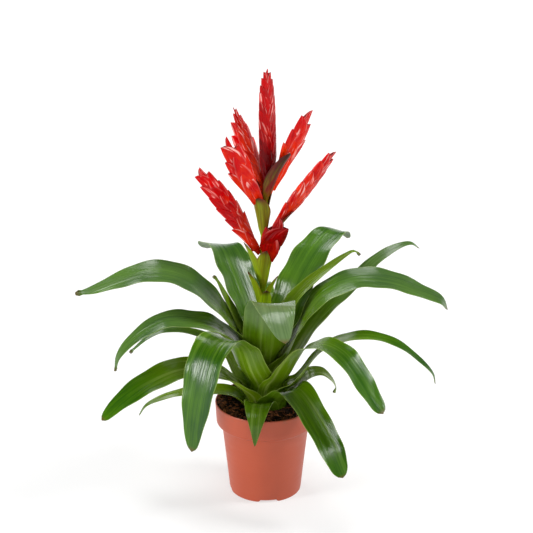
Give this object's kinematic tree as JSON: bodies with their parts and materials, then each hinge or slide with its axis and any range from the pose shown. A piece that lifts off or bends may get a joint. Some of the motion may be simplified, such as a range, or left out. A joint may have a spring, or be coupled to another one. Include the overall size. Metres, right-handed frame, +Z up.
{
  "type": "flaming sword bromeliad in a plastic pot",
  "caption": "Potted bromeliad: arching glossy strap leaves round a stalk of flat red flower spikes, growing in a round tapered plastic pot of soil.",
  "frame": {"origin": "bottom centre of the whole object, under the pot's axis, on the ground plane", "axes": "+Z up along the pot's axis; -Y towards the side that is mostly looked at; +X to its right"},
  "size_m": [0.4311, 0.2846, 0.516],
  "materials": {
    "pot": "satin",
    "soil": "matte",
    "leaf": "gloss",
    "stalk": "satin",
    "stem": "matte",
    "bract": "gloss"
  },
  "bodies": {
    "root": {"flower_stalk": "stalk", "leaf_back_left_erect": "leaf", "leaf_back_right_erect": "leaf", "leaf_behind_left": "leaf", "leaf_behind_low": "leaf", "leaf_behind_right": "leaf", "leaf_behind_upper": "leaf", "leaf_front_curl": "leaf", "leaf_front_left_hanging": "leaf", "leaf_front_right_arch": "leaf", "leaf_front_right_hanging": "leaf", "leaf_front_small": "leaf", "leaf_left_high_arch": "leaf", "leaf_left_low_broad": "leaf", "leaf_left_low_narrow": "leaf", "leaf_left_mid": "leaf", "leaf_left_slip": "leaf", "leaf_left_thin": "leaf", "leaf_right_back": "leaf", "leaf_right_high_arch": "leaf", "leaf_right_low_curl": "leaf", "leaf_right_slip": "leaf", "leaf_right_thin": "leaf", "pot": "pot", "short_stem": "stem", "soil": "soil", "spike_behind_left": "bract", "spike_front_left": "bract", "spike_front_low": "bract", "spike_low_left": "bract", "spike_low_right": "bract", "spike_top": "bract", "spike_upper_left": "bract", "spike_upper_right": "bract"}
  },
  "joints": []
}
